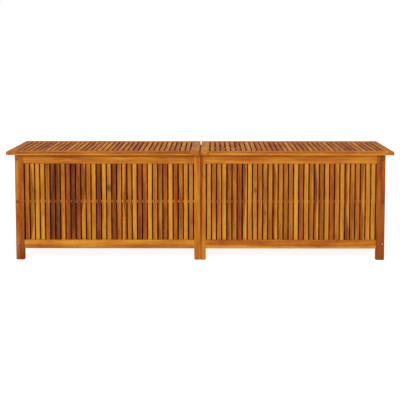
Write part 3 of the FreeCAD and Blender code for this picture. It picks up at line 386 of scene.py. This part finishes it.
def liner_bag(name, node, seed, finish):
    """An open bag: a rounded rectangle lofted from the hem down the walls, then inwards over the floor.

    Wall point = loop point minus its outward direction times the sag. The sag is nothing at the hem and
    at the corners, and rises to 12 mm half-way down the long walls, in slow waves. The last 3 mm turn
    inwards as a quarter circle. Floor rings shrink towards the middle and lift by up to 3 mm in low waves.
    """
    rng = np.random.default_rng(seed)
    low, high = (np.array(c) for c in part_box(node))
    corner_radius, turn_radius, most_sag = 0.005, 0.003, 0.012
    floor_rings, floor_reach = 16, 0.2
    spots, ways = loop_points(low, high, corner_radius)
    run = np.concatenate([[0], np.cumsum(np.linalg.norm(np.diff(spots, axis=0), axis=1))])
    phase = rng.uniform(0, 2 * math.pi, 5)
    levels = np.concatenate([np.linspace(0, 0.99, 22), np.linspace(0.9936, 1, 5)])[:, None]
    height = high[2] - low[2]
    # the corners hold the cloth out: the sag grows from nothing there over 120 mm, and the short
    # walls, which have less cloth between their corners, sag about a third as far
    inset = np.minimum(spots - low[:2], high[:2] - spots)
    loose = np.clip((inset.max(1) - 0.020) / 0.120, 0, 1)
    loose = loose ** 2 * (3 - 2 * loose) * np.where(inset[:, 0] < inset[:, 1], 0.3, 1.0)
    waves = loose * (0.55 + 0.25 * np.sin(run * 17 + phase[0])
                     + 0.15 * np.sin(run * 41 + phase[1] + 5 * levels)
                     + 0.08 * np.sin(run * 83 + phase[2] - 7 * levels))
    sag = most_sag * np.sin(math.pi * levels) ** 0.8 * waves
    below = np.clip((levels * height - (height - turn_radius)) / turn_radius, 0, 1)
    inward = sag * (1 - below) + turn_radius * (1 - np.sqrt(1 - below ** 2))
    wall_xy = spots[None] - ways[None] * inward[..., None]
    wall_z = high[2] - levels * height + np.zeros_like(run)[None]
    wall = np.concatenate([wall_xy, wall_z[..., None]], -1)
    middle = (low[:2] + high[:2]) / 2
    shrink = np.linspace(0.93, 0.03, floor_rings)[:, None, None]
    floor_xy = middle + (wall_xy[-1][None] - middle) * shrink
    lift = (np.sin(floor_xy[..., 0] * 19 + phase[3]) * np.sin(floor_xy[..., 1] * 27 + phase[4]) + 1) * 0.0015
    floor_z = low[2] + lift * (1 - shrink[..., 0]) ** 0.5
    points = np.concatenate([wall, np.concatenate([floor_xy, floor_z[..., None]], -1)])
    rings, sides = points.shape[:2]
    index = np.arange(rings * sides).reshape(rings, sides)
    here, following = index[:-1], index[1:]
    quads = np.stack([here, following, np.roll(following, -1, 1), np.roll(here, -1, 1)], -1).reshape(-1, 4)
    flat = points.reshape(-1, 3)
    far = np.concatenate([levels[:, 0] * height, height + np.linspace(0.01, floor_reach, floor_rings)])
    u, v = np.tile(run, rings), np.repeat(far, sides)
    cap = index[-1]
    corners = np.concatenate([quads.ravel(), cap])
    piece = new_piece(name, flat, quads, [cap], np.stack([u[corners], v[corners]], -1))
    wall_thickness = piece.modifiers.new("wall", "SOLIDIFY")
    wall_thickness.thickness, wall_thickness.offset = 0.0012, -1
    piece.data.materials.append(finish)
    return piece


def edge_binding(name, node, finish):
    """A bound edge round the bag's hem: an upright oval of eight points, carried round the rim.

    Point = rim point plus its outward direction times the oval's half width times the angle's cosine,
    raised by the oval's half height times the angle's sine.
    """
    low, high = (np.array(c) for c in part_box(node))
    radius, inset, corner_radius, sides = 0.0016, 0.0012, 0.004, 8
    spots, ways = loop_points(low + inset, high - inset, corner_radius)
    angle = np.linspace(0, 2 * math.pi, sides, endpoint=False)
    out = spots[:, None] + ways[:, None] * (radius * np.cos(angle))[None, :, None]
    up = np.broadcast_to(high[2] - radius + 1.6 * radius * np.sin(angle), out.shape[:2])
    points = np.concatenate([out, up[..., None]], -1)
    count = len(spots)
    index = np.arange(count * sides).reshape(count, sides)
    following = np.roll(index, -1, 0)
    quads = np.stack([index, following, np.roll(following, -1, 1), np.roll(index, -1, 1)], -1).reshape(-1, 4)
    flat = points.reshape(-1, 3)
    corners = quads.ravel()
    uv = np.stack([flat[corners, 0] + flat[corners, 1], flat[corners, 2]], -1)
    piece = new_piece(name, flat, quads, (), uv)
    piece.data.materials.append(finish)
    return piece


def tape_strips(name, node, on_left, finish):
    """Hook and loop tape: four flat strips on edge, which stop 60 mm short of the corners.

    Each strip is a thin box: a ring of four points, carried along in 60 stations, which moves in and
    out by 0.1 mm as a sine of the way along.
    """
    solid = nodes[node].data
    corners = np.zeros(len(solid.vertices) * 3, dtype=np.float32)
    solid.vertices.foreach_get("co", corners)
    corners = corners.reshape(-1, 3)
    low, high = (np.array(c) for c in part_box(node))
    mine = corners[corners[:, 0] < 0] if on_left else corners[corners[:, 0] > 0]
    x0, x1 = mine[:, 0].min(), mine[:, 0].max()
    y0, y1 = mine[:, 1].min(), mine[:, 1].max()
    thick, inset, steps, ripple_height = 0.0017, 0.060, 60, 0.0001
    boxes = [(X, x0 + inset, x1 - inset, y0), (X, x0 + inset, x1 - inset, y1 - thick),
             (Y, y0 + inset, y1 - inset, x0), (Y, y0 + inset, y1 - inset, x1 - thick)]
    points, quads, caps = [], [], []
    for number, (axis, start, end, face) in enumerate(boxes):
        along = np.linspace(start, end, steps)
        ripple = ripple_height * np.sin(along * 60)
        near, far = ripple_height, thick - ripple_height
        ring = np.zeros((steps, 4, 3))
        ring[..., axis] = along[:, None]
        ring[..., 1 - axis] = face + np.array([near, far, far, near]) + ripple[:, None]
        ring[..., Z] = np.array([low[Z], low[Z], high[Z], high[Z]])
        index = np.arange(steps * 4).reshape(steps, 4) + number * steps * 4
        here, following = index[:-1], index[1:]
        side = np.stack([here, np.roll(here, -1, 1), np.roll(following, -1, 1), following], -1).reshape(-1, 4)
        ends = [index[0, ::-1], index[-1]]
        if axis == Y:
            side, ends = side[:, ::-1], [c[::-1] for c in ends]
        points.append(ring.reshape(-1, 3))
        quads.append(side)
        caps += ends
    flat, quads = np.concatenate(points), np.concatenate(quads)
    corner = np.concatenate([quads.ravel(), *caps])
    uv = np.stack([flat[corner, 0] + flat[corner, 1], flat[corner, 2]], -1)
    piece = new_piece(name, flat, quads, caps, uv, smooth=False)
    piece.data.materials.append(finish)
    return piece


# ---------------------------------------------------------------- finishes of the frame

strips = strip_wood("acacia_strips_oiled")
zinc = plated_steel("steel_zinc_plated", [(0.3, "#b7a878"), (0.7, "#d2c79c")], 0.28, 0.45)
# the high heads are painted darker brown, as painted shade under the lid's overhang; the low heads stay
# bright
bronze = plated_steel("steel_bronze_plated", [(0.3, "#d79a78"), (0.7, "#f0bd9c")], 0.22, 0.38,
                      [(0.15, "#fff2e8"), (0.30, "#b08a62"), (0.52, "#b4a070")])
bag_cloth = woven_polyester("polyester_woven_coated", [(0.3, "#131316"), (0.7, "#27272c")], 0.003, 0.0008)
tape_cloth = woven_polyester("nylon_hook_and_loop", [(0.3, "#1c1c1f"), (0.7, "#303035")], 0.002, 0.0008)

# node: grain, tone, redness, blends of (direction, from, to, tone lift, redness lift); places in metres
BOARDS = {
    "front_left_outer_stile": ("Z", 0.74, 0.30, [("X", -0.946, -0.940, -0.12, 0.32),
                                                 ("Z", 0.36, 0.06, -0.19, 0.28)]),
    "front_left_inner_stile": ("Z", 0.76, 0.34, []),
    "front_right_inner_stile": ("Z", 0.46, 0.80, [("X", 0.011, 0.015, 0.27, -0.45)]),
    "front_right_outer_stile": ("Z", 0.57, 0.70, [("Z", 0.20, 0.06, -0.07, 0.05)]),
    # the upper part of both top rails is darker and redder: painted shade under the lid's overhang
    "front_left_top_rail": ("X", 0.68, 0.36, [("Z", 0.520, 0.532, -0.03, 0.14)]),
    "front_right_top_rail": ("X", 0.78, 0.36, [("Z", 0.520, 0.532, -0.03, 0.10)]),
    "front_left_bottom_rail": ("X", 0.92, 0.12, [("Z", 0.086, 0.076, -0.18, 0.26)]),
    "front_right_bottom_rail": ("X", 0.72, 0.40, [("Z", 0.074, 0.070, 0.26, -0.34)]),
    # the right half of the battens is much darker and redder: painted shade behind the slats
    "front_slat_battens": ("X", 0.98, 0.30, [("X", -0.02, 0.02, -0.75, 0.40)]),
    # the lowest strip of both lids' front rails is lighter and more golden: partly sapwood, partly a painted
    # highlight on the eased edge
    "left_lid_front_rail": ("X", 0.62, 0.55, [("Z", 0.562, 0.558, 0.26, -0.36)]),
    "right_lid_front_rail": ("X", 0.66, 0.52, [("Z", 0.562, 0.558, 0.22, -0.30)]),
    "left_lid_outer_stile": ("Y", 0.72, 0.40, []),
    "left_lid_inner_stile": ("Y", 0.68, 0.42, []),
    "right_lid_inner_stile": ("Y", 0.74, 0.34, []),
    "right_lid_outer_stile": ("Y", 0.66, 0.48, []),
}
# twelve floor boards of 60 mm spread over one compartment, with a gap before, between and after them
COMPARTMENT_LENGTH, FLOOR_BOARDS, FLOOR_BOARD_WIDTH = 0.908, 12, 0.060
FLOOR_GAP = (COMPARTMENT_LENGTH - FLOOR_BOARDS * FLOOR_BOARD_WIDTH) / (FLOOR_BOARDS + 1)
FLOOR_PITCH = FLOOR_GAP + FLOOR_BOARD_WIDTH
IN_THE_GAP = 0.0067  # a floor board's own tone starts this far before the board
BOARD_START, BOARD_LENGTH = -0.0005, 0.9  # the boards of one node change tone at the middle of the box
BARE_SHARE = 0.10  # of bare sapwood, on the battens behind the slats
GRAIN_ALONG_X = ("rail", "batten", "ledger")


def grain_of(name):
    """The direction of a board's grain from what it is and where it stands."""
    if name in ("floor_slats", "side_slat_battens", "centre_cross_rails"):
        return "Y"
    if name == "centre_battens":
        return "Z"
    if "_side_" in name and "rail" in name:
        return "Y"
    if any(word in name for word in GRAIN_ALONG_X):
        return "X"
    return "Y" if "_lid_" in name else "Z"


rng = np.random.default_rng(20)
replaced = {"liner_tapes", "left_liner", "right_liner"}
replaced |= {name for name in nodes if name.endswith("_slats") and name != "floor_slats"}
for number, name in enumerate(sorted(nodes)):
    if name in replaced:
        continue
    if name == "corner_bolts":
        finish = bronze
    elif "hinge" in name or name in ("barrel_nuts", "inner_screws"):
        finish = zinc
    else:
        cells = None
        if name == "floor_slats":
            cells = ("X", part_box(name)[0][X] - IN_THE_GAP, FLOOR_PITCH)
        elif name.endswith(("_battens", "_stiles", "_ledgers", "_cross_rails")):
            cells = ("Y" if "side" in name else "X", BOARD_START, BOARD_LENGTH)
        axis, tone, red, blends = BOARDS.get(
            name, (grain_of(name), rng.uniform(0.58, 0.82), rng.uniform(0.25, 0.6), []))
        pale = BARE_SHARE if name.endswith("_slat_battens") else 0.0
        finish = member_wood("acacia_" + name, axis, tone, red, number + 1, blends, cells, pale)
    board = nodes[name]
    if not board.material_slots:
        board.data.materials.append(finish)
    for slot in board.material_slots:
        slot.material = finish

# ---------------------------------------------------------------- rows of strips

LEFT_FRONT = "mvggmddordrvogdgkdowogrryomryrmgo"
RIGHT_FRONT = "googmorvgkokovomoyrgovmgrogvmovgg"
LEFT_LID = "ooommgoomgogmooggomgoomogooogmogo"
RIGHT_LID = "omogomogomoormogomroomogmomrogmom"
ROWS = [  # name, CAD node, along, outwards, count, grades, body, material slot
    ("front_left_strips", "front_left_slats", Z, Y, LONG_ROW, LEFT_FRONT, "box", "slat_wood"),
    ("front_right_strips", "front_right_slats", Z, Y, LONG_ROW, RIGHT_FRONT, "box", "slat_wood"),
    ("back_left_strips", "back_left_slats", Z, Y, LONG_ROW, "", "box", "slat_wood"),
    ("back_right_strips", "back_right_slats", Z, Y, LONG_ROW, "", "box", "slat_wood"),
    ("left_side_strips", "left_side_slats", Z, X, SIDE_ROW, "", "box", "slat_wood"),
    ("right_side_strips", "right_side_slats", Z, X, SIDE_ROW, "", "box", "slat_wood"),
    ("left_lid_strips", "left_lid_slats", Y, Z, LONG_ROW, LEFT_LID, "left_lid", "lid_slat_wood"),
    ("right_lid_strips", "right_lid_slats", Y, Z, LONG_ROW, RIGHT_LID, "right_lid", "lid_slat_wood"),
]
for seed, (name, node, along, out, count, grades, body, slot) in enumerate(ROWS, start=1):
    row = slat_row(name, node, along, out, count, grades, seed, strips)
    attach(row, body)
    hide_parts(node)

# ---------------------------------------------------------------- liners

for seed, side in enumerate(("left", "right"), start=31):
    node = side + "_liner"
    bag = liner_bag(side + "_liner_bag", node, seed, bag_cloth)
    binding = edge_binding(side + "_liner_binding", node, tape_cloth)
    tapes = tape_strips(side + "_liner_tapes", "liner_tapes", side == "left", tape_cloth)
    for piece, slot in ((bag, "liner_fabric"), (binding, "liner_fabric"), (tapes, "hook_and_loop_tape")):
        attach(piece, "box")
    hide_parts(node)
    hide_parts("liner_tapes")

# ---------------------------------------------------------------- stage, light, camera

FLOOR_REACH = 40.0
corners = np.array([(-1, -1, 0), (1, -1, 0), (1, 1, 0), (-1, 1, 0)]) * FLOOR_REACH
floor = new_piece("studio_floor", corners, np.array([[0, 1, 2, 3]]), smooth=False)
floor.data.materials.append(lit_table())

scene = bpy.context.scene
scene.view_settings.view_transform = "Standard"
scene.world = bpy.data.worlds.new("studio")
scene.world.use_nodes = True
# a white cove round the table, which dims from 6 degrees above the horizon to the studio's ceiling
studio = scene.world.node_tree
rise = add(studio, "SeparateXYZ", {"Vector": add(studio, "TexCoord").outputs["Generated"]}).outputs["Z"]
fall = add(studio, "MapRange", {"Value": rise, "From Min": 0.10, "From Max": 0.32,
                                "To Min": 1.0, "To Max": 0.28}, interpolation_type="SMOOTHSTEP")
studio.links.new(fall.outputs[0], studio.nodes["Background"].inputs["Strength"])
studio.nodes["Background"].inputs["Color"].default_value = (1.0, 1.0, 1.0, 1.0)
# each lamp's turn and spread are in degrees
for name, turn, strength, spread in (("key", (59, 0, -20), 2.7, 16), ("top", (20, 0, 165), 2.0, 50)):
    sun = bpy.data.lights.new(name, "SUN")
    sun.energy, sun.angle = strength, math.radians(spread)
    lamp = bpy.data.objects.new(name, sun)
    lamp.rotation_euler = [math.radians(a) for a in turn]
    scene.collection.objects.link(lamp)

# a long lens, almost level: the shift keeps uprights near parallel, as a view camera's does
lens = bpy.data.cameras.new("camera")
lens.sensor_width, lens.lens = 36.0, 78.14
lens.shift_x, lens.shift_y = -0.02, -0.22
lens.clip_start, lens.clip_end = 0.1, 200.0
camera = bpy.data.objects.new("camera", lens)
camera.location = (0.0680, -4.6873, 1.1266)
camera.rotation_euler = (math.radians(90 - 4.521), 0.0, math.radians(0.337))
scene.collection.objects.link(camera)
scene.camera = camera
